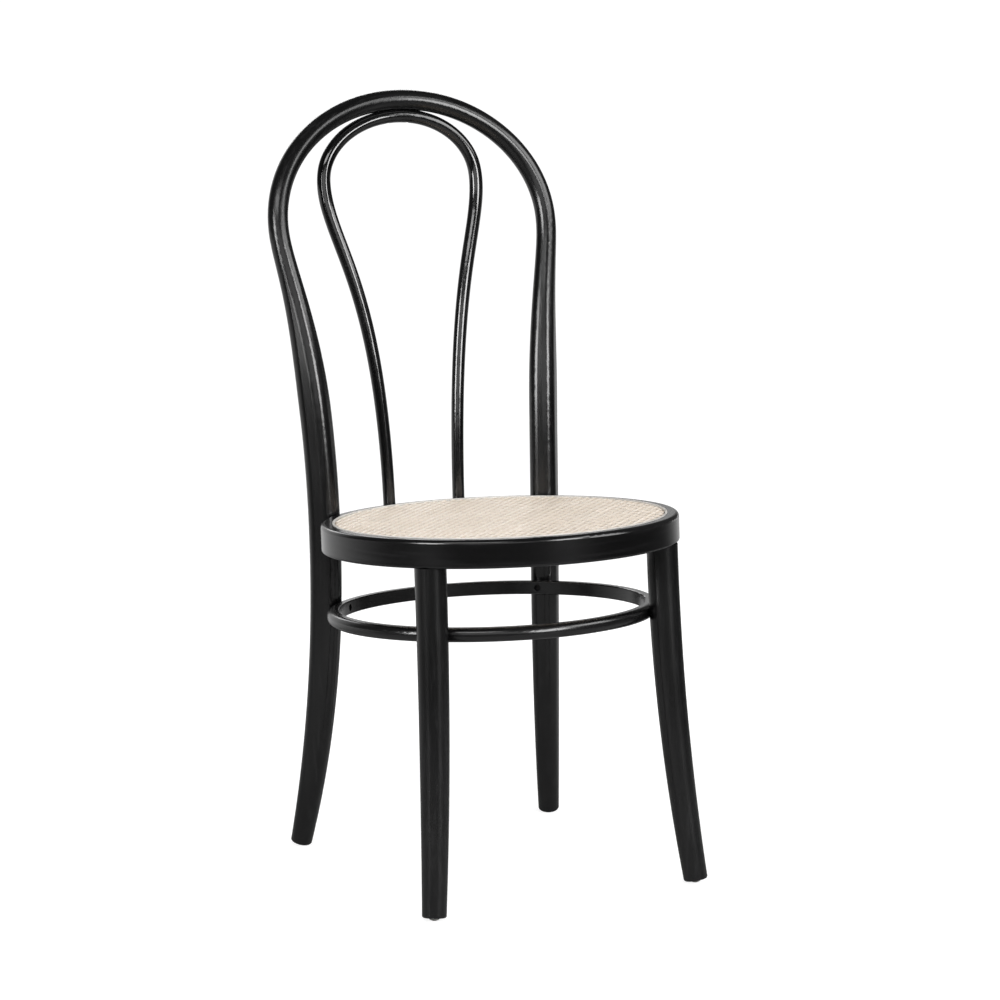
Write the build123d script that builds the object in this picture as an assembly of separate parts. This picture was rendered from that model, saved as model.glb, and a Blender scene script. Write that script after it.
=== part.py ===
from build123d import *
import os
from math import asin, atan2, cos, degrees, hypot, radians, sin

# Driving dimensions, in millimetres and degrees. The chair faces -Y and stands on z = 0.
# While it is modelled, the seat's middle lies over x = y = 0.
overall_height = 942.0
seat_height = 439.5            # top of the seat ring, at its middle
seat_slope = 3.3               # the seat plane drops towards the back

# Seat ring
ring_radius = 217.7
ring_width = 38.0
ring_height = 34.0
ring_top_round = 5.0
ring_under_round = 3.0
ring_lip_round = 5.0

# Cane panel, pressed into a groove in the ring and held by a spline
groove_setback = 14.0          # from the ring's outer face to the groove
groove_width = 5.2
groove_depth = 8.0
cane_thickness = 1.8
cane_rim = 6.5                 # how far the cane's rim turns down into the groove
weave_openings = 12            # across the panel, fewer and larger than in the real mesh
weave_opening = 18.8           # across the flats of an octagon
weave_margin = 4.0             # from the outer openings to the groove
weave_turn = 2.5               # from the chair's own directions
spline_crown = 0.9             # how far the spline stands above the ring
spline_round = 1.2

# Back bow: one rod bent into both rear legs and the arch of the back
bow_side_bend = 1646.0         # radius of the bow seen from the side
bow_waist_height = 357.5       # where the bow stands upright in both views
bow_waist_half = 153.0
rear_leg_bend = 2740.0         # radius of a rear leg seen from the front
arch_half = 184.8
arch_rise = 159.0
waist_pull = 320.0             # how long the upright keeps the waist's direction
shoulder_pull = 56.0           # how soon it turns into the arch
arch_rod = 25.2
rear_foot_rod = 26.4
stile_depth = 37.6             # section at the seat, away from the seat's middle
stile_width = 33.6             # and along the ring
stile_corner = 13.5
stile_top = 200.0              # the flattened section runs this far up from the waist
arch_foot = 412.0              # and is round again from here

# Inner loop, its ends lapped onto the ring's outer face
loop_rod = 17.2
loop_foot_rod = 15.4
loop_foot_half = 48.3
loop_lap = 5.4                 # how deep the ring is let into the loop's ends
loop_end_drop = 26.0           # from the ring's top to the loop's ends
loop_end_round = 2.0
loop_half = 105.6
loop_rise = 80.4
loop_foot_pull = 317.0         # how long the front outline keeps its direction at the foot
loop_shoulder_pull = 82.0
loop_lean_pull = 353.0         # and the side outline, at the foot and at the top
loop_top_pull = 172.0
loop_bite = 1.0                # how deep the arch sits in the loop's saddle

# Front legs, tenoned into the ring from below
front_leg_top = 38.0
front_leg_foot = 29.2
front_leg_bend = 2800.0
front_leg_setback = 18.5       # from the ring's outer face to the middle of the leg's top
front_leg_angle = 39.1         # where the leg stands, from the chair's side towards its front
front_leg_splay = 45.0         # and which way it bends
leg_tenon_radius = 11.0
leg_tenon_length = 20.0

# Hoop
hoop_drop = 118.3              # from the ring's top to the hoop's middle, square to the seat
hoop_width = 15.2
hoop_height = 17.0
hoop_outer_round = 7.5
hoop_inner_round = 1.5

# Joints
housing_depth = 1.2            # how deep the ring and the hoop are let into the legs
joint_gap = 0.05
fit_gap = 0.1                  # around tenons, the spline and the cane's rim
foot_round = 3.0

# Glides
glide_radius = 7.2
glide_height = 3.4
glide_wear = 0.25              # worn flat where the dome meets the floor
nail_radius = 1.4
nail_length = 14.0

# Fasteners
bolt_drop = 21.0               # from the ring's top to the seat bolts
bolt_sink = 7.0                # depth of a seat bolt's counterbore in the ring
bolt_radius = 3.0
bolt_head_radius = 5.5
bolt_head_height = 4.0
bolt_reach = 19.0              # into the rear leg
washer_radius = 6.5
washer_thickness = 1.5
insert_radius = 4.5
insert_length = 15.0
screw_radius = 2.2
screw_head_radius = 4.0
screw_head_height = 2.6
screw_reach = 17.0             # into the leg
screw_sink = 6.0               # depth of a screw's counterbore
loop_foot_screw_drop = 14.0    # from the ring's top to the screws in the loop's ends
loop_foot_screw_sink = 14.0
loop_foot_screw_reach = 8.0    # into the loop
loop_top_screw_half = 14.0     # half the distance between the screws in the loop's top
loop_top_screw_radius = 1.8
loop_top_screw_head_radius = 3.2
loop_top_screw_head_height = 2.0
loop_top_screw_sink = 3.5
loop_top_screw_reach = 14.0    # into the arch
hole_gap = 0.3                 # around heads, washers and shanks

base_up = (Align.CENTER, Align.CENTER, Align.MIN)
up = Vector(0, 0, 1)
seat = Pos(0, 0, seat_height) * Rot(-seat_slope, 0, 0)
groove_outer = ring_radius - groove_setback
groove_inner = groove_outer - groove_width
ring_inner = ring_radius - ring_width
glide_curve = (glide_radius**2 + glide_height**2) / (2 * glide_height)
glide_centre_depth = glide_curve - glide_height


def solve(value, low, high):
    """The argument between low and high where a rising value passes zero."""
    for _ in range(50):
        middle = (low + high) / 2
        if value(middle) < 0:
            low = middle
        else:
            high = middle
    return low


def post(plane, radius, length):
    """A cylinder that starts on a plane and runs along its normal."""
    return plane * Cylinder(radius, length, align=base_up)


def both_sides(shape):
    """A shape of the chair's left half and its mirror image."""
    return [shape, mirror(shape, about=Plane.YZ)]


def in_seat(point):
    """A point of the chair, given in the tilted frame of the seat."""
    return (seat.inverse() * Pos(*point)).position


def from_seat(plane):
    """A plane of the seat's frame, placed in the chair."""
    return Plane(seat * plane.location)


def mirrored(plane):
    """The same plane on the other side of the chair."""
    origin = Vector(-plane.origin.X, plane.origin.Y, plane.origin.Z)
    return Plane(origin, z_dir=Vector(-plane.z_dir.X, plane.z_dir.Y, plane.z_dir.Z))


def ring_profile(inner, outer, low, high, rounds):
    """Half section of a ring, its corners rounded from inner low round to inner high, or square where 0."""
    middle = Pos((inner + outer) / 2, (low + high) / 2)
    face = Plane.XZ * (middle * Rectangle(outer - inner, high - low))
    corners = [(inner, low), (outer, low), (outer, high), (inner, high)]
    for (across, height), size in zip(corners, rounds):
        if size > 0:
            nearest = face.vertices().sort_by_distance(Vector(across, 0, height))[0]
            face = fillet(nearest, size)
    return face


def band(inner, outer, low, high):
    """Half section of a plain square ring."""
    return Plane.XZ * (Pos((inner + outer) / 2, (low + high) / 2) * Rectangle(outer - inner, high - low))


def disc(radius):
    """A round section drawn as four quarter arcs."""
    return make_face([CenterArc((0, 0), radius, 90 * i, 90) for i in range(4)])


def arc_side(bend, foot):
    """Side outline of a bent rod: an arc that is upright at its foot."""

    def outline(along):
        lean = along / bend
        return foot + Vector(0, bend * (1 - cos(lean)), bend * sin(lean)), Vector(0, sin(lean), cos(lean))

    return outline


def curve_side(curve):
    """Side outline of a bent rod: a curve, measured from its start."""

    def outline(along):
        return curve.position_at(along, PositionMode.LENGTH), curve.tangent_at(along, PositionMode.LENGTH)

    return outline


def rod_plane(station, outline, twist=0.0):
    """Section plane of a bent rod at a station: its place and heading in the front view."""
    place, heading = station
    point, rise = outline(place.Y)
    across = Vector(1, 0, 0)
    back = Vector(0, rise.Z, -rise.Y)
    ahead = across * heading.X + rise * heading.Y
    outward = across * heading.Y - rise * heading.X
    return Plane(point + across * place.X, x_dir=back * cos(twist) + outward * sin(twist), z_dir=ahead)


def stations_on(curve, count, backwards=False):
    """Evenly spaced places and headings on a curve, without its end."""
    shares = [i / count for i in range(count)]
    if backwards:
        return [(curve @ (1 - share), (curve % (1 - share)) * -1) for share in shares]
    return [(curve @ share, curve % share) for share in shares]


def whole_bend(half, crown):
    """Stations of a bent rod: up its left half, over the crown and down its mirror image."""
    other = [(Vector(-place.X, place.Y), Vector(heading.X, -heading.Y)) for place, heading in reversed(half)]
    return half + [crown] + other


def lyre(foot_half, foot_pull, half, shoulder, shoulder_pull, rise):
    """An upright that swings out to a shoulder, and the quarter ellipse above it."""
    low = [(foot_half, 0), (foot_half, foot_pull)]
    high = [(half, shoulder - shoulder_pull), (half, shoulder)]
    return Bezier(*low, *high), EllipticalCenterArc((0, shoulder), half, rise, start_angle=0, arc_size=90)


def smooth(share):
    """A share between 0 and 1 that starts and ends gently."""
    share = min(1.0, max(0.0, share))
    return share * share * (3 - 2 * share)


def floor_miss(foot_plane):
    """How far a glide on this foot would stay above the floor."""
    centre = foot_plane.origin - foot_plane.z_dir * glide_centre_depth
    return centre.Z - glide_curve + glide_wear


def glide(foot_plane):
    """A domed glide with its nail, worn flat on the floor."""
    crown = Vector(0, glide_height)
    bulge = Vector(glide_curve * sin(0.4), glide_curve * cos(0.4) - glide_centre_depth)
    outline = [
        Line((0, 0), (glide_radius, 0)),
        ThreePointArc((glide_radius, 0), bulge, crown),
        Line(crown, (0, 0)),
    ]
    dome = revolve(Plane.XZ * make_face(outline), Axis.Z)
    nail = Cylinder(nail_radius, nail_length, align=(Align.CENTER, Align.CENTER, Align.MAX))
    below = Plane((foot_plane.origin.X, foot_plane.origin.Y, 0), z_dir=up * -1)
    return foot_plane * (dome + nail) - post(below, 2 * glide_radius, glide_height)


def nail_hole(foot_plane):
    inward = Plane(foot_plane.origin, z_dir=foot_plane.z_dir * -1)
    return post(inward, nail_radius + joint_gap, nail_length + joint_gap)


def round_foot(solid, foot_plane):
    """Round the edge under a leg and drill it for its glide."""
    sole = solid.faces().sort_by_distance(foot_plane.origin)[0]
    return fillet(sole.edges(), foot_round) - nail_hole(foot_plane)


def screw(head_seat, radius, length, head_radius, head_height):
    """A screw whose head stands on a plane, on the side that its normal comes from."""
    head = post(Plane(head_seat.origin, z_dir=head_seat.z_dir * -1), head_radius, head_height)
    return post(head_seat, radius, length) + head


def screw_and_hole(
    head_seat,
    length,
    sink,
    radius=screw_radius,
    head_radius=screw_head_radius,
    head_height=screw_head_height,
):
    """A screw and its hole, counterbored from in front of the wood down to the head's seat."""
    entry = Plane(head_seat.origin - head_seat.z_dir * 2 * sink, z_dir=head_seat.z_dir)
    hole = post(entry, head_radius + hole_gap, 2 * sink)
    hole += post(head_seat, radius + joint_gap, length + joint_gap)
    return screw(head_seat, radius, length, head_radius, head_height), hole


# Back bow. Its rear legs stand against the ring's outer face, so the ring sets how far back they are.
leg_to_middle = ring_radius + stile_depth / 2 - housing_depth
bow_foot = Vector(0, (leg_to_middle**2 - bow_waist_half**2) ** 0.5, bow_waist_height)
bow_side = arc_side(bow_side_bend, bow_foot)
bow_twist = atan2(bow_waist_half, bow_foot.Y)
bow_top = bow_side_bend * asin((overall_height - arch_rod / 2 - bow_waist_height) / bow_side_bend)


def rear_leg_curve(drop):
    return JernArc((bow_waist_half, 0), (0, -1), rear_leg_bend, degrees(asin(drop / rear_leg_bend)))


def bow_plane(curve, share):
    return rod_plane((curve @ share, curve % share), bow_side)


def rear_foot_miss(drop):
    return floor_miss(bow_plane(rear_leg_curve(drop), 1))


rear_drop = solve(lambda drop: -rear_foot_miss(drop), bow_waist_height / 2, bow_waist_height * 1.2)
rear_leg = rear_leg_curve(rear_drop)
rear_foot = bow_plane(rear_leg, 1)
upright, arch = lyre(bow_waist_half, waist_pull, arch_half, bow_top - arch_rise, shoulder_pull, arch_rise)
bow_crown = bow_plane(arch, 1)
bow_half = stations_on(rear_leg, 6, backwards=True) + stations_on(upright, 10) + stations_on(arch, 8)
bow_stations = whole_bend(bow_half, (arch @ 1, arch % 1))


def bow_size(along):
    """Depth, width and corner of the bow's section: round in the feet and the arch, flattened between."""
    if along < 0:
        rod = rear_foot_rod
        share = 1 - (along / rear_drop) ** 2
    else:
        rod = arch_rod
        share = 1 - smooth((along - stile_top) / (arch_foot - stile_top))
    depth = rod + (stile_depth - rod) * share
    width = rod + (stile_width - rod) * share
    corner = 0.49 * rod + (stile_corner - 0.49 * rod) * share
    return depth, width, corner


def bow_rod(stations, extra=0.0):
    """The bow's rod through these stations, thicker all round by extra."""
    faces = []
    for station in stations:
        depth, width, corner = bow_size(station[0].Y)
        section = RectangleRounded(depth + 2 * extra, width + 2 * extra, corner + extra)
        faces.append(rod_plane(station, bow_side, bow_twist) * section)
    return loft(faces)


# Front leg on the sitter's left, in the frame of the seat.
def sideways(turn):
    """Level direction, turned this far from the chair's side towards its front."""
    return Vector(cos(radians(turn)), -sin(radians(turn)), 0)


leg_start = sideways(front_leg_angle) * (ring_radius - front_leg_setback) - up * ring_height
leg_side = sideways(front_leg_splay)


def leg_plane(turn):
    """Section plane of the leg after this much of its bend, in radians."""
    origin = leg_start + (leg_side * (1 - cos(turn)) - up * sin(turn)) * front_leg_bend
    across = leg_side * cos(turn) + up * sin(turn)
    return Plane(origin, x_dir=across, z_dir=leg_side * sin(turn) - up * cos(turn))


leg_most = seat_height * 1.2 / front_leg_bend
leg_turn = solve(lambda turn: -floor_miss(from_seat(leg_plane(turn))), leg_most / 4, leg_most)
front_foot = from_seat(leg_plane(leg_turn))


def leg_radius(turn):
    return (front_leg_top + (front_leg_foot - front_leg_top) * (turn / leg_turn) ** 2) / 2


leg_turns = [leg_turn * i / 6 for i in range(7)]
leg_blank = loft([leg_plane(turn) * disc(leg_radius(turn)) for turn in leg_turns])

# Hoop: its middle and radius follow from the four legs that it touches.
hoop_share = solve(lambda share: -in_seat(bow_plane(rear_leg, share).origin).Z - hoop_drop, 0, 1)
rear_spot = in_seat(bow_plane(rear_leg, hoop_share).origin)
rear_half = bow_size((rear_leg @ hoop_share).Y)[0] / 2
front_turn = asin((hoop_drop - ring_height) / front_leg_bend)
front_spot = leg_plane(front_turn).origin


def hoop_reach(middle_y, spot, leg_half):
    """Radius that lets a hoop around this middle into a leg."""
    return hypot(spot.X, spot.Y - middle_y) - leg_half + housing_depth


hoop_middle = solve(
    lambda y: hoop_reach(y, front_spot, leg_radius(front_turn)) - hoop_reach(y, rear_spot, rear_half),
    -ring_radius,
    ring_radius,
)
hoop_radius = hoop_reach(hoop_middle, rear_spot, rear_half)


def ring_blank(extra=0.0):
    """The seat ring without its groove and holes, thicker all round by extra."""
    rounds = [ring_under_round, ring_under_round, ring_top_round, ring_lip_round]
    profile = ring_profile(
        ring_inner - extra,
        ring_radius + extra,
        -ring_height - extra,
        extra,
        [size + extra for size in rounds],
    )
    return revolve(profile, Axis.Z)


def hoop_blank(extra=0.0):
    """The hoop without its holes, thicker all round by extra."""
    rounds = [hoop_inner_round, hoop_outer_round, hoop_outer_round, hoop_inner_round]
    profile = ring_profile(
        hoop_radius - hoop_width - extra,
        hoop_radius + extra,
        -hoop_drop - hoop_height / 2 - extra,
        -hoop_drop + hoop_height / 2 + extra,
        [size + extra for size in rounds],
    )
    return Pos(0, hoop_middle, 0) * revolve(profile, Axis.Z)


# Inner loop: it rises square to the seat behind the ring, and its top hangs straight below the arch's crown.
loop_foot_radius = ring_radius + loop_foot_rod / 2 - loop_lap
loop_foot_y = (loop_foot_radius**2 - loop_foot_half**2) ** 0.5
loop_top = bow_crown.origin - up * (arch_rod / 2 + loop_rod / 2 - loop_bite)
loop_top_spot = in_seat(loop_top)
loop_outline = Bezier(
    (0, loop_foot_y, -loop_end_drop),
    (0, loop_foot_y, loop_lean_pull - loop_end_drop),
    (0, loop_top_spot.Y, loop_top_spot.Z - loop_top_pull),
    (0, loop_top_spot.Y, loop_top_spot.Z),
)
loop_shoulder = loop_outline.length - loop_rise
loop_upright, loop_arch = lyre(
    loop_foot_half, loop_foot_pull, loop_half, loop_shoulder, loop_shoulder_pull, loop_rise
)
loop_half_stations = stations_on(loop_upright, 10) + stations_on(loop_arch, 7)
loop_stations = whole_bend(loop_half_stations, (loop_arch @ 1, loop_arch % 1))


def loop_radius(along):
    return (loop_foot_rod + (loop_rod - loop_foot_rod) * smooth(along / loop_shoulder)) / 2


# Fasteners of the left half, in the frame of the seat.
bolt_share = solve(lambda share: in_seat(bow_plane(upright, share).origin).Z + bolt_drop, 0, 1)
bolt_spot = in_seat(bow_plane(upright, bolt_share).origin)


def radial_plane(spot, middle, radius):
    """A plane at this radius from a middle, facing a spot at the same height."""
    ahead = (spot - Vector(middle.X, middle.Y, spot.Z)).normalized()
    return Plane(Vector(middle.X, middle.Y, spot.Z) + ahead * radius, x_dir=up, z_dir=ahead)


ring_middle = Vector(0, 0, 0)
bolt_entry = radial_plane(bolt_spot, ring_middle, ring_inner - bolt_sink)
washer_seat = radial_plane(bolt_spot, ring_middle, ring_inner + bolt_sink)
bolt_seat = radial_plane(bolt_spot, ring_middle, ring_inner + bolt_sink - washer_thickness)
insert_seat = radial_plane(bolt_spot, ring_middle, ring_radius + joint_gap)
bolt_length = ring_width - bolt_sink + washer_thickness + bolt_reach
seat_bolt = screw(bolt_seat, bolt_radius - joint_gap, bolt_length, bolt_head_radius, bolt_head_height)
bolt_washer = post(bolt_seat, washer_radius, washer_thickness)
bolt_washer -= post(bolt_seat, bolt_radius + hole_gap, washer_thickness)
bolt_insert = post(insert_seat, insert_radius, insert_length) - post(insert_seat, bolt_radius, insert_length)
bolt_hole_in_ring = post(bolt_entry, washer_radius + hole_gap, 2 * bolt_sink)
bolt_hole_in_ring += post(washer_seat, bolt_radius + hole_gap, ring_width)
bolt_hole_in_leg = post(insert_seat, insert_radius + joint_gap, insert_length)
bolt_hole_in_leg += post(insert_seat, bolt_radius + hole_gap, bolt_reach + hole_gap)


def hoop_screw(spot):
    """A screw through the hoop into the leg at this spot, and its hole."""
    head_seat = radial_plane(spot, Vector(0, hoop_middle, 0), hoop_radius - hoop_width + screw_sink)
    return screw_and_hole(head_seat, hoop_width - screw_sink + screw_reach, screw_sink)


rear_hoop_screw, rear_hoop_hole = hoop_screw(rear_spot)
front_hoop_screw, front_hoop_hole = hoop_screw(front_spot)

tenon_spot = Vector(leg_start.X, leg_start.Y, leg_tenon_length / 2 - ring_height)
tenon_seat = radial_plane(tenon_spot, ring_middle, ring_inner + screw_sink)
tenon_wall = hypot(tenon_spot.X, tenon_spot.Y) - leg_tenon_radius - ring_inner
tenon_screw, tenon_hole = screw_and_hole(tenon_seat, tenon_wall - screw_sink + screw_reach, screw_sink)

loop_foot_spot = Vector(loop_foot_half, loop_foot_y, -loop_foot_screw_drop)
loop_foot_seat = radial_plane(loop_foot_spot, ring_middle, ring_inner + loop_foot_screw_sink)
loop_foot_length = ring_width - loop_foot_screw_sink + loop_foot_screw_reach
loop_foot_screw, loop_foot_hole = screw_and_hole(loop_foot_seat, loop_foot_length, loop_foot_screw_sink)

# Screws from the loop's top up into the arch, in the chair's frame.
loop_top_depth = loop_rod - loop_top_screw_sink - loop_bite
loop_top_screw_foot = loop_top - up * (loop_rod / 2 - loop_top_screw_sink)
loop_top_screw, loop_top_hole = screw_and_hole(
    Plane(loop_top_screw_foot + Vector(loop_top_screw_half, 0, 0), z_dir=up),
    loop_top_depth + loop_top_screw_reach,
    loop_top_screw_sink,
    loop_top_screw_radius,
    loop_top_screw_head_radius,
    loop_top_screw_head_height,
)


def make_front_leg():
    leg = leg_blank + post(Plane(leg_start, z_dir=up), leg_tenon_radius, leg_tenon_length)
    leg = leg - hoop_blank(joint_gap) - front_hoop_hole - tenon_hole
    return round_foot(seat * leg, front_foot)


def make_seat_ring():
    ring = ring_blank()
    lip = band(ring_inner - ring_width, groove_inner, -cane_thickness - joint_gap, ring_height)
    groove = band(groove_inner, groove_outer, -groove_depth, ring_height)
    ring -= revolve(lip + groove, Axis.Z)
    leg_socket = post(Plane(leg_start, z_dir=up), leg_tenon_radius + fit_gap, leg_tenon_length + fit_gap)
    for hole in (leg_socket, loop_foot_hole, bolt_hole_in_ring, tenon_hole):
        for side in both_sides(hole):
            ring -= side
    return ring


def make_cane():
    rim_inner = groove_inner + fit_gap
    rim_outer = rim_inner + cane_thickness
    profile = band(0, rim_outer, -cane_thickness, 0) + band(rim_inner, rim_outer, -cane_rim, 0)
    pitch = 2 * groove_inner / weave_openings
    reach = groove_inner - weave_margin - weave_opening / 2
    grid = GridLocations(pitch, pitch, weave_openings, weave_openings)
    opening = Rot(0, 0, 22.5) * RegularPolygon(weave_opening / 2, 8, major_radius=False)
    mesh = Sketch() + [place * opening for place in grid if place.position.length < reach]
    return revolve(profile, Axis.Z) - Rot(0, 0, weave_turn) * extrude(mesh, -cane_thickness)


def make_spline():
    inner = groove_inner + cane_thickness + 2 * fit_gap
    rounds = [0, 0, spline_round, spline_round]
    profile = ring_profile(inner, groove_outer - fit_gap, fit_gap - groove_depth, spline_crown, rounds)
    return revolve(profile, Axis.Z)


def make_hoop():
    hoop = hoop_blank()
    for hole in both_sides(rear_hoop_hole) + both_sides(front_hoop_hole):
        hoop -= hole
    return hoop


def make_bow():
    bow = bow_rod(bow_stations)
    bow = bow - seat * ring_blank(joint_gap) - seat * hoop_blank(joint_gap)
    for hole in (seat * bolt_hole_in_leg, seat * rear_hoop_hole, loop_top_hole):
        for side in both_sides(hole):
            bow -= side
    for foot_plane in (rear_foot, mirrored(rear_foot)):
        bow = round_foot(bow, foot_plane)
    return bow


def make_loop():
    outline = curve_side(loop_outline)
    planes = [rod_plane(station, outline) for station in loop_stations]
    radii = [loop_radius(place.Y) for place, heading in loop_stations]
    loop = loft([plane * disc(radius) for plane, radius in zip(planes, radii)])
    for end in (planes[0], planes[-1]):
        face = loop.faces().sort_by_distance(end.origin)[0]
        loop = fillet(face.edges(), loop_end_round)
    loop = seat * (loop - ring_blank(joint_gap))
    crown = len(bow_stations) // 2
    loop -= bow_rod(bow_stations[crown - 4 : crown + 5], joint_gap)
    for hole in both_sides(loop_top_hole) + both_sides(seat * loop_foot_hole):
        loop -= hole
    return loop


front_leg = make_front_leg()
nodes = {
    "back_bow": [make_bow()],
    "inner_loop": [make_loop()],
    "seat_ring": [seat * make_seat_ring()],
    "cane_webbing": [seat * make_cane()],
    "cane_spline": [seat * make_spline()],
    "leg_hoop": [seat * make_hoop()],
    "front_leg_left": [front_leg],
    "front_leg_right": [mirror(front_leg, about=Plane.YZ)],
    "glide_front_left": [glide(front_foot)],
    "glide_front_right": [glide(mirrored(front_foot))],
    "glide_rear_left": [glide(rear_foot)],
    "glide_rear_right": [glide(mirrored(rear_foot))],
    "hoop_screws": both_sides(seat * rear_hoop_screw) + both_sides(seat * front_hoop_screw),
    "seat_bolts": both_sides(seat * seat_bolt),
    "seat_bolt_washers": both_sides(seat * bolt_washer),
    "seat_bolt_inserts": both_sides(seat * bolt_insert),
    "leg_tenon_screws": both_sides(seat * tenon_screw),
    "loop_foot_screws": both_sides(seat * loop_foot_screw),
    "loop_top_screws": both_sides(loop_top_screw),
}

boxes = [shape.bounding_box() for shapes in nodes.values() for shape in shapes]
front = min(box.min.Y for box in boxes)
rear = max(box.max.Y for box in boxes)
centre = Pos(0, -(front + rear) / 2, 0)

os.makedirs("parts", exist_ok=True)
for name, shapes in nodes.items():
    solids = [centre * solid for shape in shapes for solid in shape.solids()]
    export_step(solids[0] if len(solids) == 1 else Compound(children=solids), f"parts/{name}.step")

print("middle of the chair lies behind the seat's middle by", round((front + rear) / 2, 2))
print("hoop radius", round(hoop_radius, 1), "middle", round(hoop_middle, 1))
print("loop length from end to crown", round(loop_outline.length, 1))
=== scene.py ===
import math
import random

import bpy
from mathutils import Matrix, Vector


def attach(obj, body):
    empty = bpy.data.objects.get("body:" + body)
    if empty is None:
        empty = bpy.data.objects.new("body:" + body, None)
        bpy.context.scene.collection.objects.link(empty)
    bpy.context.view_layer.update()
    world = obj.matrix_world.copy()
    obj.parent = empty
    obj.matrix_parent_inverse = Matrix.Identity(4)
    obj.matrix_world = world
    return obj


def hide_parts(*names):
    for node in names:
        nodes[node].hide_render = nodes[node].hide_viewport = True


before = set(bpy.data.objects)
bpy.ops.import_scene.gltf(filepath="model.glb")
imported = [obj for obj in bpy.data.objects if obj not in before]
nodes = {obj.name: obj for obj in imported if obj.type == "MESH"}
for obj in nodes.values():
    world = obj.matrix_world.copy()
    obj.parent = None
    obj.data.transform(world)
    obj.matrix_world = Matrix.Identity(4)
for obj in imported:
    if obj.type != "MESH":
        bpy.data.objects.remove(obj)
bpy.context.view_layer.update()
scene = bpy.context.scene
scene.view_settings.view_transform = "Standard"

# Lengths are in metres, angles in degrees. The chair faces -Y, and +X is the sitter's left.
# The seat, the rings and the arches lie as in the CAD model.
SEAT_MIDDLE = Vector((0, -0.037425, 0.4395))
SEAT_SLOPE = 3.3
SEAT = Matrix.Translation(SEAT_MIDDLE) @ Matrix.Rotation(-math.radians(SEAT_SLOPE), 4, "X")
GROOVE_INNER = 0.1985
RING_MIDLINE = 0.1987
SPLINE_MIDLINE = 0.202
HOOP_MIDLINE = 0.1948
HOOP_MIDDLE_Y = -0.0153
BOW_SHOULDER, BOW_ARCH_RADIUS = 0.78, 0.172
LOOP_SHOULDER, LOOP_ARCH_RADIUS = 0.83, 0.093

# Cane webbing: a square lattice of paired strands with one diagonal each way between the holes.
CANE_PITCH = 0.0133
CANE_TURN = 2.5
CANE_LEVEL = -0.0009
STRAND_WIDTH = 0.0033
DIAGONAL_WIDTH = 0.0035
STRAND_THICKNESS = 0.0010
PAIR_HALF = 0.0018             # from the middle of a pair to each of its strands
PAIR_COUNT = 15                # pairs on each side of the middle
DIAGONAL_COUNT = 22
PAIR_PLAY = 0.30               # how far a strand goes over and under, in thicknesses
RIB_PLAY, RIB_LIFT = 0.25, 0.0008        # the diagonals that stand up as ribs
SUNK_PLAY, SUNK_LIFT = 0.45, -0.0003     # the diagonals that lie under them
# Strand tones: pale tones on the rib diagonals are painted light on their lit tops, and dark tones on the
# pairs and the sunk diagonals are painted shade; within each range the tone differs at random
PAINTED_LIT_TONES = (0.65, 1.0)
PAINTED_SHADE_TONES = (0.0, 0.5)
RIM_MARGIN = 0.001             # no strand runs nearer to the groove than this
WIDTH_PLAY = (0.93, 1.07)
DRIFT_PLAY = (-0.00012, 0.00012)
WEAVE_SEED = 14

# Section of a strand, in widths and thicknesses, and how its ends turn down into the groove: out and down.
STRAND_SECTION = [(-0.5, 0.0), (-0.24, 0.5), (0.24, 0.5), (0.5, 0.0), (0.0, -0.5)]
STRAND_END = ((0.0, 0.0), (0.0006, -0.0006), (0.0008, -0.0030), (0.0008, -0.0055))
END_CLEARANCE = 0.0015

# Studio
ROOM_LEVEL = 0.08              # the room's own light
BACKDROP_LEVEL = 0.75          # the white behind the chair, as lacquer and metal mirror it
LAMP_TARGET = Vector((0, 0, 0.5))
FLOOR_HALF = 30.0

# Lamps: azimuth from the front towards +X, elevation, distance, size and radiance
LAMPS = {
    "window_left": (-72, 15, 3.6, (1.1, 1.4), 15),
    "window_front": (16, 15, 3.6, (1.2, 1.4), 14),
    "between": (-28, 14, 5.4, (4.2, 2.0), 1.2),
    "wing": (50, 31, 4.2, (2.6, 1.5), 6.0),
    "upper": (-45, 40, 3.8, (2.4, 0.7), 6.0),
    "rear": (165, 22, 4.5, (2.4, 1.4), 3.0),
    "top": (20, 80, 3.0, (2.4, 2.4), 1.15),
}
NOT_MIRRORED = "top"           # this lamp makes no highlight

# Camera, fitted to the photograph
CAMERA_PLACE = (-1.96701, -3.98429, 1.21788)
CAMERA_AZIMUTH, CAMERA_ELEVATION, CAMERA_ROLL = -26.505, 9.761, -0.481
CAMERA_LENS, CAMERA_SENSOR = 132.70, 36.0
CAMERA_SHIFT = (-0.0005, 0.0005)
CAMERA_FAR = 200.0


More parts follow.
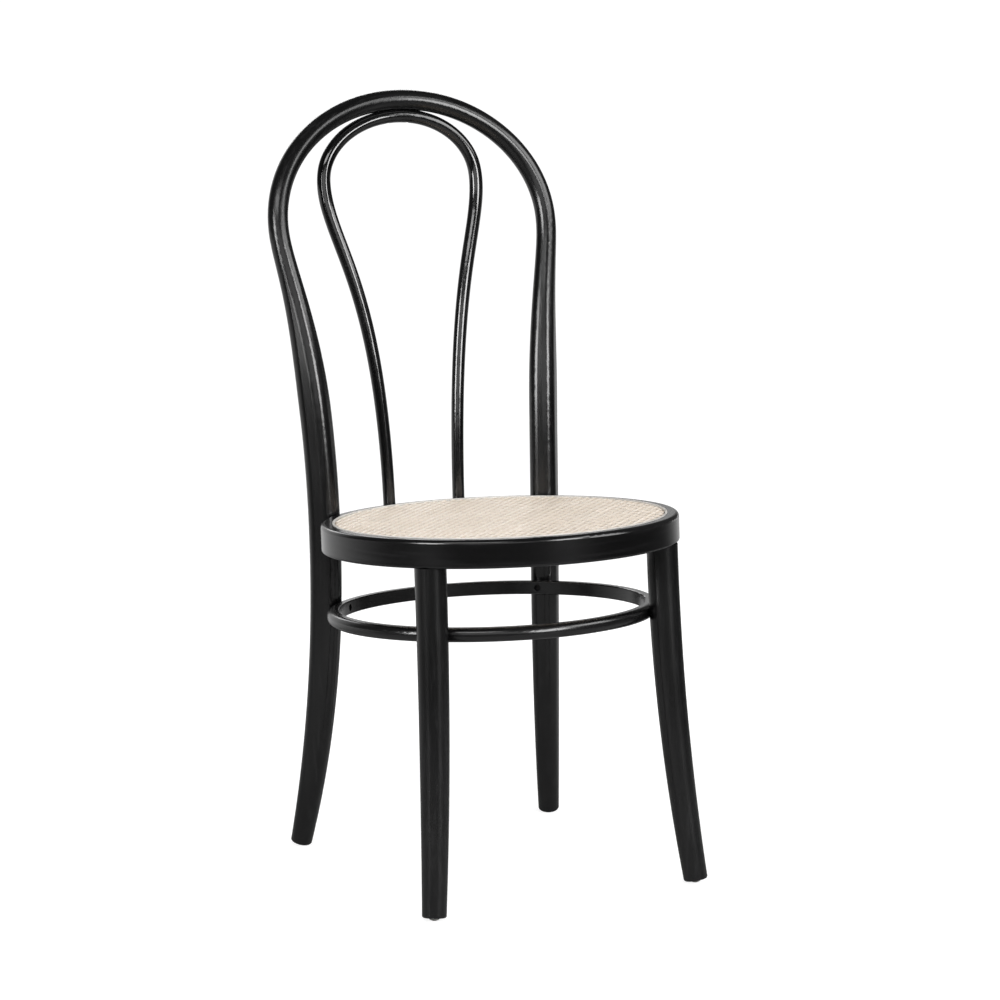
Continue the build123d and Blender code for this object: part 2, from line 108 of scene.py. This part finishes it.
class Graph:
    """A node tree, with short calls to add and link nodes."""

    def __init__(self, tree):
        self.tree = tree

    def put(self, socket, value):
        if isinstance(value, bpy.types.NodeSocket):
            self.tree.links.new(value, socket)
        else:
            socket.default_value = value

    def add(self, kind, **inputs):
        made = self.tree.nodes.new(kind)
        for name, value in inputs.items():
            self.put(made.inputs[name], value)
        return made

    def add_in_order(self, kind, *values):
        made = self.tree.nodes.new(kind)
        for socket, value in zip(made.inputs, values):
            self.put(socket, value)
        return made

    def math(self, operation, *values):
        made = self.add_in_order("ShaderNodeMath", *values)
        made.operation = operation
        return made.outputs[0]

    def length(self, first, second):
        """Distance from the middle, from two coordinates."""
        squares = [self.math("MULTIPLY", value, value) for value in (first, second)]
        return self.math("SQRT", self.math("ADD", *squares))

    def vector(self, x, y, z):
        return self.add_in_order("ShaderNodeCombineXYZ", x, y, z).outputs[0]

    def split(self, vector):
        return self.add_in_order("ShaderNodeSeparateXYZ", vector).outputs

    def noise(self, vector, scale, detail, roughness):
        made = self.add("ShaderNodeTexNoise", Vector=vector, Scale=scale, Detail=detail, Roughness=roughness)
        return made.outputs["Fac"]

    def between(self, value, low, high, to_low=0.0, to_high=1.0):
        """A value's smooth passage from low to high, as a passage from to_low to to_high."""
        made = self.add_in_order("ShaderNodeMapRange", value, low, high, to_low, to_high)
        made.interpolation_type = "SMOOTHSTEP"
        return made.outputs[0]

    def blend(self, share, first, second):
        made = self.tree.nodes.new("ShaderNodeMix")
        made.data_type = "RGBA"
        for name, value in (("Factor", share), ("A", first), ("B", second)):
            self.put(made.inputs[name], value)
        return made.outputs["Result"]

    def bump(self, height, strength, distance):
        made = self.add("ShaderNodeBump", Height=height, Strength=strength, Distance=distance)
        return made.outputs["Normal"]

    def place(self):
        """Object coordinates, whole and split into x, y and z."""
        where = self.tree.nodes.new("ShaderNodeTexCoord").outputs["Object"]
        return where, *self.split(where)

    def rays(self):
        """Rays from the camera, and rays that lacquer, metal or glass sends on."""
        path = self.tree.nodes.new("ShaderNodeLightPath").outputs
        mirror_ray = self.math("MAXIMUM", path["Is Glossy Ray"], path["Is Transmission Ray"])
        return path["Is Camera Ray"], mirror_ray


class Material(Graph):
    """A material's node tree."""

    def __init__(self, name):
        self.material = bpy.data.materials.new(name)
        self.material.use_nodes = True
        super().__init__(self.material.node_tree)
        self.shader = self.tree.nodes["Principled BSDF"]

    def finish(self, **inputs):
        for name, value in inputs.items():
            self.put(self.shader.inputs[name.replace("_", " ")], value)
        return self.material


def grey(level):
    return level, level, level, 1


# Fields that follow the grain: across the rod, through it and along it.
def along_leg(g, x, y, z):
    """Grain of an upright rod."""
    return x, y, z


def along_arch(shoulder, radius):
    """Grain of a rod that rises to a shoulder and goes over in an arch."""

    def field(g, x, y, z):
        over = g.math("MAXIMUM", g.math("SUBTRACT", z, shoulder), 0.0)
        turn = g.math("MULTIPLY", g.math("ARCTAN2", over, g.math("ABSOLUTE", x)), radius)
        return g.length(x, over), y, g.math("ADD", g.math("MINIMUM", z, shoulder), turn)

    return field


def along_ring(middle_y, radius):
    """Grain of a level ring."""

    def field(g, x, y, z):
        back = g.math("SUBTRACT", y, middle_y)
        return g.length(x, back), z, g.math("MULTIPLY", g.math("ARCTAN2", back, x), radius)

    return field


def black_wood(name, field, gloss, index=1.5):
    """Black-stained beech under satin lacquer: faint long grain, short pores and a handled surface.

    gloss is the lacquer's roughness and index its refractive index.
    """
    deepest, deep = (0.0020, 0.0020, 0.0022, 1), (0.0038, 0.0037, 0.0038, 1)
    grain_tone, pore_tone = (0.0092, 0.0091, 0.0095, 1), (0.0012, 0.0012, 0.0013, 1)
    grain_stretch, pore_stretch = 0.03, 0.12
    pore_share, pore_dullness, gloss_play = 0.5, 0.02, 0.05
    g = Material(name)
    where, x, y, z = g.place()
    across, through, along = field(g, x, y, z)
    grain_at = g.vector(across, through, g.math("MULTIPLY", along, grain_stretch))
    pores_at = g.vector(across, through, g.math("MULTIPLY", along, pore_stretch))
    grain = g.noise(grain_at, 240.0, 4.0, 0.6)
    streak = g.noise(grain_at, 60.0, 3.0, 0.5)
    pores = g.between(g.noise(pores_at, 900.0, 2.0, 0.5), 0.60, 0.70)
    handled = g.noise(where, 7.0, 3.0, 0.5)
    ground = g.blend(g.between(streak, 0.3, 0.7), deepest, deep)
    stain = g.blend(g.between(grain, 0.50, 0.70), ground, grain_tone)
    colour = g.blend(g.math("MULTIPLY", pores, pore_share), stain, pore_tone)
    lacquer = g.between(handled, 0.3, 0.7, gloss, gloss + gloss_play)
    rough = g.math("ADD", lacquer, g.math("MULTIPLY", pores, pore_dullness))
    ripple = g.bump(streak, 0.03, 0.0005)
    return g.finish(Base_Color=colour, Roughness=rough, IOR=index, Normal=ripple)


def cane_skin():
    """Natural cane: warm cream, a tone on each strand that differs at random and also carries painted shade
    on the lower strands and painted light on the raised ribs, flecks and a satin skin.
    """
    darkest, palest = (0.66, 0.555, 0.45, 1), (0.92, 0.84, 0.75, 1)
    cloud_tone, cloud_share = (0.80, 0.70, 0.595, 1), 0.4
    fleck_tone, fleck_share = (0.60, 0.475, 0.35, 1), 0.35
    smoothest, roughest = 0.36, 0.50
    g = Material("cane_skin")
    where, *_ = g.place()
    strand = g.tree.nodes.new("ShaderNodeAttribute")
    strand.attribute_name = "tone"
    cloud = g.noise(where, 22.0, 4.0, 0.6)
    fleck = g.noise(where, 1400.0, 2.0, 0.6)
    # each strand's tone: random within its range, with painted shade on the lower strands and painted light
    # on the rib strands
    plain = g.blend(strand.outputs["Fac"], darkest, palest)
    clouded = g.blend(g.between(cloud, 0.35, 0.7, 0.0, cloud_share), plain, cloud_tone)
    colour = g.blend(g.between(fleck, 0.62, 0.78, 0.0, fleck_share), clouded, fleck_tone)
    rough = g.between(cloud, 0.3, 0.7, smoothest, roughest)
    return g.finish(Base_Color=colour, Roughness=rough, Normal=g.bump(fleck, 0.15, 0.0001))


def reed():
    """The pale reed of the spline, with fibres along it."""
    pale, dull = (0.66, 0.635, 0.60, 1), (0.58, 0.55, 0.51, 1)
    fibre_tone, fibre_share, fibre_stretch = (0.43, 0.40, 0.36, 1), 0.5, 0.02
    smoothest, roughest = 0.45, 0.6
    g = Material("reed")
    where, x, y, z = g.place()
    across, through, along = along_ring(SEAT_MIDDLE.y, SPLINE_MIDLINE)(g, x, y, z)
    fibre_at = g.vector(across, through, g.math("MULTIPLY", along, fibre_stretch))
    fibre = g.noise(fibre_at, 1500.0, 3.0, 0.6)
    cloud = g.noise(where, 30.0, 3.0, 0.5)
    ground = g.blend(g.between(cloud, 0.35, 0.7), pale, dull)
    colour = g.blend(g.between(fibre, 0.5, 0.7, 0.0, fibre_share), ground, fibre_tone)
    rough = g.between(cloud, 0.3, 0.7, smoothest, roughest)
    return g.finish(Base_Color=colour, Roughness=rough, Normal=g.bump(fibre, 0.2, 0.0002))


def plated(name, colour, worn, roughness):
    """Plated metal, scratched and dulled in patches."""
    scratch_stretch, scratch_dullness, patch_dullness = 0.15, 0.08, 0.18
    g = Material(name)
    where, x, y, z = g.place()
    patch = g.noise(where, 160.0, 4.0, 0.6)
    scratch = g.noise(g.vector(g.math("MULTIPLY", x, scratch_stretch), y, z), 2600.0, 2.0, 0.6)
    tone = g.blend(g.between(patch, 0.42, 0.68), colour, worn)
    patched = g.between(patch, 0.35, 0.7, roughness, roughness + patch_dullness)
    rough = g.math("ADD", patched, g.math("MULTIPLY", scratch, scratch_dullness))
    return g.finish(Base_Color=tone, Roughness=rough, Metallic=1.0, Normal=g.bump(scratch, 0.12, 0.0001))


def white_paper():
    """A white sweep: white to the camera but for the chair's shadow, and lit behind the chair."""
    seen_near, seen_far = 0.82, 1.05
    near_tone, far_tone = grey(0.36), grey(0.10)
    g = Material("paper")
    where, x, y, z = g.place()
    g.tree.nodes.remove(g.shader)
    away = g.length(x, y)
    camera_ray, mirror_ray = g.rays()
    seen = g.math("MULTIPLY", camera_ray, g.between(away, 0.45, 1.0, seen_near, seen_far))
    mirrored = g.math("MULTIPLY", mirror_ray, g.between(y, 0.4, 2.2, 0.0, BACKDROP_LEVEL))
    glow = g.add("ShaderNodeEmission", Color=grey(1), Strength=g.math("ADD", seen, mirrored))
    matt = g.add("ShaderNodeBsdfDiffuse", Color=g.blend(g.between(away, 0.9, 2.6), near_tone, far_tone))
    both = g.add_in_order("ShaderNodeAddShader", matt.outputs[0], glow.outputs[0])
    g.put(g.tree.nodes["Material Output"].inputs["Surface"], both.outputs[0])
    return g.material


def wear(node, material):
    nodes[node].data.materials.clear()
    nodes[node].data.materials.append(material)


leg_wood = black_wood("wood_leg", along_leg, 0.21)
wear("back_bow", black_wood("wood_bow", along_arch(BOW_SHOULDER, BOW_ARCH_RADIUS), 0.19))
wear("inner_loop", black_wood("wood_loop", along_arch(LOOP_SHOULDER, LOOP_ARCH_RADIUS), 0.10, 1.62))
wear("seat_ring", black_wood("wood_ring", along_ring(SEAT_MIDDLE.y, RING_MIDLINE), 0.17))
wear("leg_hoop", black_wood("wood_hoop", along_ring(HOOP_MIDDLE_Y, HOOP_MIDLINE), 0.21, 1.56))
wear("front_leg_left", leg_wood)
wear("front_leg_right", leg_wood)
wear("cane_spline", reed())
blued = plated("blued", (0.012, 0.012, 0.013, 1), (0.026, 0.024, 0.022, 1), 0.45)
nickel = plated("nickel", (0.66, 0.65, 0.62, 1), (0.40, 0.39, 0.37, 1), 0.26)
zinc = plated("zinc", (0.46, 0.46, 0.47, 1), (0.24, 0.24, 0.25, 1), 0.34)
brass = plated("brass", (0.70, 0.53, 0.25, 1), (0.45, 0.33, 0.16, 1), 0.32)
for corner in ("front_left", "front_right", "rear_left", "rear_right"):
    wear(f"glide_{corner}", nickel)
for fastener in ("hoop_screws", "leg_tenon_screws", "loop_foot_screws", "loop_top_screws"):
    wear(fastener, blued)
for fastener in ("seat_bolts", "seat_bolt_washers"):
    wear(fastener, zinc)
wear("seat_bolt_inserts", brass)


class Weave:
    """Mesh of the cane strands, in the frame of the seat."""

    def __init__(self):
        self.points = []
        self.faces = []
        self.tones = []
        self.draw = random.Random(WEAVE_SEED)

    def strand(self, direction, offset, levels, width, tones):
        """One strand on a level line: levels gives its height at places along it."""
        side = Vector((-direction.y, direction.x, 0))
        # the tone is random within the range given; the ranges paint shade on the lower strands and light on
        # the ribs
        tone = self.draw.uniform(*tones)
        drift = self.draw.uniform(*DRIFT_PLAY)
        width *= self.draw.uniform(*WIDTH_PLAY)
        reach = math.sqrt(GROOVE_INNER**2 - offset**2)
        stops = [(-reach - out, level) for out, level in reversed(STRAND_END)]
        stops += [(place, level) for place, level in levels if abs(place) < reach - END_CLEARANCE]
        stops += [(reach + out, level) for out, level in STRAND_END]
        size = len(STRAND_SECTION)
        start = len(self.points)
        for place, level in stops:
            middle = direction * place + side * (offset + drift) + Vector((0, 0, CANE_LEVEL + level))
            for across, height in STRAND_SECTION:
                corner = side * across * width + Vector((0, 0, height * STRAND_THICKNESS))
                self.points.append(middle + corner)
                self.tones.append(tone)
        for step in range(len(stops) - 1):
            low = start + step * size
            for i in range(size):
                j = (i + 1) % size
                self.faces.append((low + i, low + size + i, low + size + j, low + j))
        last = start + (len(stops) - 1) * size
        self.faces.append(tuple(start + i for i in range(size)))
        self.faces.append(tuple(last + i for i in reversed(range(size))))

    def straight(self, direction):
        """The paired strands of one direction, woven plainly over and under the pairs that cross them."""
        height = PAIR_PLAY * STRAND_THICKNESS
        pairs = range(-PAIR_COUNT, PAIR_COUNT + 1)
        for pair in pairs:
            for side in (-1, 1):
                offset = pair * CANE_PITCH + side * PAIR_HALF
                if abs(offset) > GROOVE_INNER - RIM_MARGIN:
                    continue
                levels = []
                for cross in pairs:
                    for other in (-1, 1):
                        levels.append((cross * CANE_PITCH + other * PAIR_HALF, side * other * height))
                    for rest in (0.36, 0.64):
                        levels.append(((cross + rest) * CANE_PITCH, 0.0))
                # the pairs lie low and take painted-shade tones
                self.strand(direction, offset, levels, STRAND_WIDTH, PAINTED_SHADE_TONES)

    def diagonal(self, direction, lift, play, tones):
        """The diagonals of one direction, over one set of pairs and under the other."""
        spacing = CANE_PITCH / math.sqrt(2)
        height = play * STRAND_THICKNESS
        flat = 0.30 * spacing
        for line in range(-DIAGONAL_COUNT, DIAGONAL_COUNT):
            offset = (line + 0.5) * spacing
            if abs(offset) > GROOVE_INNER - RIM_MARGIN:
                continue
            levels = []
            for cross in range(-2 * DIAGONAL_COUNT, 2 * DIAGONAL_COUNT):
                over = 1 if (cross + line) % 2 == 0 else -1
                place = (cross + 0.5) * spacing
                for step in (-flat, 0.0, flat):
                    levels.append((place + step, lift + over * height))
            self.strand(direction, offset, levels, DIAGONAL_WIDTH, tones)


def cane_direction(turn):
    """A level direction of the cane, in degrees from its own first strands."""
    angle = math.radians(CANE_TURN + turn)
    return Vector((math.cos(angle), math.sin(angle), 0))


weave = Weave()
weave.straight(cane_direction(0))
weave.straight(cane_direction(90))
# the ribs take painted-light tones and the sunk diagonals painted-shade tones
weave.diagonal(cane_direction(45), RIB_LIFT, RIB_PLAY, PAINTED_LIT_TONES)
weave.diagonal(cane_direction(135), SUNK_LIFT, SUNK_PLAY, PAINTED_SHADE_TONES)
mesh = bpy.data.meshes.new("cane_weave")
mesh.from_pydata([SEAT @ point for point in weave.points], [], weave.faces)
# tone at each point: the strand's random tone, with painted shade on the lower strands and painted light on
# the ribs
mesh.attributes.new("tone", "FLOAT", "POINT").data.foreach_set("value", weave.tones)
mesh.shade_smooth()
mesh.materials.append(cane_skin())
cane = bpy.data.objects.new("cane_weave", mesh)
scene.collection.objects.link(cane)
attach(cane, "root")
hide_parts("cane_webbing")

# Floor
floor_corners = [(x * FLOOR_HALF, y * FLOOR_HALF, 0) for x, y in ((-1, -1), (1, -1), (1, 1), (-1, 1))]
floor_mesh = bpy.data.meshes.new("floor")
floor_mesh.from_pydata(floor_corners, [], [(0, 1, 2, 3)])
floor_mesh.materials.append(white_paper())
floor = bpy.data.objects.new("floor", floor_mesh)
scene.collection.objects.link(floor)


def studio():
    """A dim room that is white to the camera, and white behind the chair to lacquer and metal."""
    world = bpy.data.worlds.new("studio")
    world.use_nodes = True
    world.node_tree.nodes.clear()
    g = Graph(world.node_tree)
    ahead = g.split(g.tree.nodes.new("ShaderNodeTexCoord").outputs["Generated"])["Y"]
    behind = g.between(ahead, 0.75, 0.98, 0.0, BACKDROP_LEVEL)
    camera_ray, mirror_ray = g.rays()
    white_share = g.math("MAXIMUM", camera_ray, g.math("MULTIPLY", mirror_ray, behind))
    room = g.add("ShaderNodeBackground", Color=grey(1), Strength=ROOM_LEVEL)
    white = g.add("ShaderNodeBackground", Color=grey(1), Strength=1.0)
    mix = g.add_in_order("ShaderNodeMixShader", white_share, room.outputs[0], white.outputs[0])
    g.add("ShaderNodeOutputWorld", Surface=mix.outputs[0])
    return world


def direction_from(azimuth, elevation):
    """The way from the chair to a lamp or the camera. Azimuth 0 is in front and grows towards +X."""
    turn, lift = math.radians(azimuth), math.radians(elevation)
    return Vector((math.sin(turn) * math.cos(lift), -math.cos(turn) * math.cos(lift), math.sin(lift)))


def softbox(name, azimuth, elevation, distance, size, radiance):
    """A rectangular lamp that faces the chair."""
    outwards = direction_from(azimuth, elevation)
    lamp = bpy.data.lights.new(name, "AREA")
    lamp.shape = "RECTANGLE"
    lamp.size, lamp.size_y = size
    lamp.energy = math.pi * size[0] * size[1] * radiance
    box = bpy.data.objects.new(name, lamp)
    box.location = LAMP_TARGET + outwards * distance
    box.rotation_mode = "QUATERNION"
    box.rotation_quaternion = outwards.to_track_quat("Z", "Y")
    box.visible_camera = False
    box.visible_glossy = name != NOT_MIRRORED
    scene.collection.objects.link(box)


scene.world = studio()
for name, placing in LAMPS.items():
    softbox(name, *placing)

# Camera
turn, roll = math.radians(CAMERA_AZIMUTH), math.radians(CAMERA_ROLL)
right = Vector((math.cos(turn), math.sin(turn), 0))
back = direction_from(CAMERA_AZIMUTH, CAMERA_ELEVATION)
top = back.cross(right)
across = right * math.cos(roll) + top * math.sin(roll)
above = top * math.cos(roll) - right * math.sin(roll)
aim = Matrix((across, above, back)).transposed().to_4x4()
camera = bpy.data.objects.new("camera", bpy.data.cameras.new("camera"))
camera.matrix_world = Matrix.Translation(CAMERA_PLACE) @ aim
camera.data.sensor_width = CAMERA_SENSOR
camera.data.lens = CAMERA_LENS
camera.data.shift_x, camera.data.shift_y = CAMERA_SHIFT
camera.data.clip_end = CAMERA_FAR
scene.collection.objects.link(camera)
scene.camera = camera
